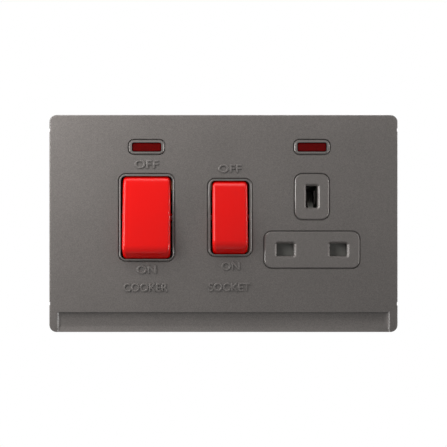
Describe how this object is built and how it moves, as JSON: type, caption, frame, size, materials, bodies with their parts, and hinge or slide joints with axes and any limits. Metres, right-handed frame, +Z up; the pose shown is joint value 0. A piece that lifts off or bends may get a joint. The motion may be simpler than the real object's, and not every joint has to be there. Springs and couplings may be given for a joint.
{
  "type": "cooker control unit",
  "caption": "Two-gang wall unit with a large cooker rocker switch, a smaller switched three-pin socket, neon indicators and a screwless grey cover with a coved lower edge.",
  "frame": {"origin": "on the wall plane, midway between the two box-fixing holes", "axes": "+X right seen from the front, +Y into the wall, +Z up; the front faces -Y"},
  "size_m": [0.146, 0.034, 0.091],
  "materials": {
    "cover_paint": "metallic grey paint, fine texture",
    "insert_paint": "metallic grey paint, fine texture",
    "base_moulding": "moulded urea, semi-matt",
    "screw_steel": "zinc plated",
    "lens_red": "dark red translucent",
    "lamp_glass": "clear glass",
    "brass": "extruded brass",
    "plated_brass": "dull nickel plate on brass",
    "silver": "silver alloy contact",
    "copper": "pressed copper alloy strip",
    "spring_steel": "drawn wire",
    "rocker_red": "satin red moulding",
    "plunger_white": "moulded nylon",
    "shutter_grey": "moulded, matt"
  },
  "bodies": {
    "unit": {"cover_plate": "cover_paint", "front_insert": "insert_paint", "rear_base": "base_moulding", "base_screws": "screw_steel", "cooker_neon_lens": "lens_red", "socket_neon_lens": "lens_red", "cooker_neon_lamp": "lamp_glass", "socket_neon_lamp": "lamp_glass", "supply_live_terminal": "brass", "supply_neutral_terminal": "brass", "load_live_terminal": "brass", "load_neutral_terminal": "brass", "earth_terminal": "plated_brass", "terminal_screws": "screw_steel", "fixed_contact_tips": "silver", "live_link": "copper", "neutral_link": "copper", "socket_live_contact": "copper", "socket_neutral_contact": "copper", "shutter_spring": "spring_steel"},
    "cooker_rocker": {"cooker_rocker": "rocker_red", "cooker_plungers": "plunger_white", "cooker_plunger_springs": "spring_steel"},
    "cooker_contacts": {"cooker_moving_contacts": "copper", "cooker_contact_tips": "silver"},
    "socket_rocker": {"socket_rocker": "rocker_red", "socket_plungers": "plunger_white", "socket_plunger_springs": "spring_steel"},
    "socket_contacts": {"socket_moving_contacts": "copper", "socket_contact_tips": "silver"},
    "shutter": {"shutter": "shutter_grey"}
  },
  "joints": [
    {"name": "cooker_switch", "type": "hinge", "parent": "unit", "child": "cooker_rocker", "pos_m": [-0.0322, 0, 0], "axis": [1, 0, 0], "range_deg": [0, 20]},
    {"name": "cooker_contact_rock", "type": "hinge", "parent": "unit", "child": "cooker_contacts", "pos_m": [-0.0322, 0.0129, 0], "axis": [1, 0, 0], "range_deg": [-20, 0]},
    {"name": "socket_switch", "type": "hinge", "parent": "unit", "child": "socket_rocker", "pos_m": [0.0027, 0, 0], "axis": [1, 0, 0], "range_deg": [0, 20]},
    {"name": "socket_contact_rock", "type": "hinge", "parent": "unit", "child": "socket_contacts", "pos_m": [0.0027, 0.0129, 0], "axis": [1, 0, 0], "range_deg": [-20, 0]},
    {"name": "shutter_slide", "type": "slide", "parent": "unit", "child": "shutter", "axis": [0, 0, -1], "range_m": [0, 0.0065], "stiffness_N_per_m": 150, "springref_m": -0.004, "deforming": ["shutter_spring"]}
  ],
  "couplings": [
    {"joint": "cooker_contact_rock", "follows": "cooker_switch", "ratio": -1},
    {"joint": "socket_contact_rock", "follows": "socket_switch", "ratio": -1}
  ]
}
